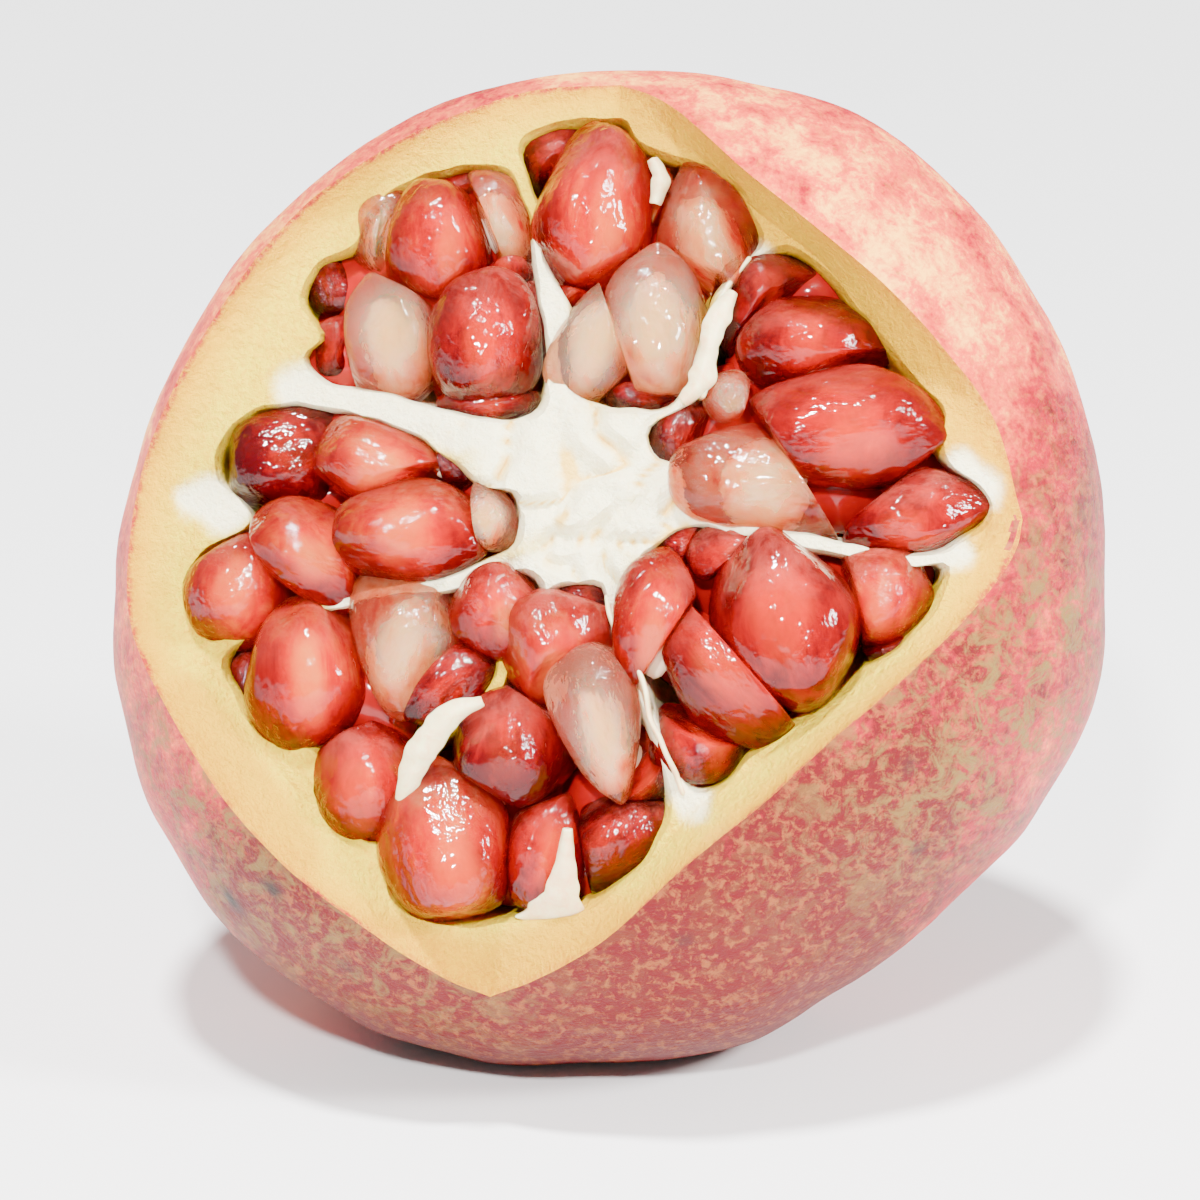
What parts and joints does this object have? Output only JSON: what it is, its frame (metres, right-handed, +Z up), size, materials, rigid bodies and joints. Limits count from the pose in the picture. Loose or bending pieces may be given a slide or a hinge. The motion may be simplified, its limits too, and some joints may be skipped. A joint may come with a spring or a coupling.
{
  "type": "open pomegranate",
  "caption": "Cut-open pomegranate resting on its side: thick pale rind with a mottled red skin, white septa and chambers packed with translucent red arils",
  "frame": {"origin": "centre of the small flat spot that the fruit rests on", "axes": "+Z up, the cut opening faces -Y and about 15 degrees upwards, +X to the right as seen into the opening"},
  "size_m": [0.0897, 0.0807, 0.0875],
  "materials": {
    "rind": "fresh fruit skin, cream mottled with pink and crimson, satin; cut rim pale yellow, septa white",
    "aril": "wet translucent aril flesh, coral to ruby, with a pale seed inside"
  },
  "bodies": {
    "root": {"husk": "rind", "arils_upper_left": "aril", "arils_top": "aril", "arils_right": "aril", "arils_lower_right": "aril", "arils_bottom": "aril", "arils_lower_left": "aril", "arils_left": "aril"}
  },
  "joints": []
}
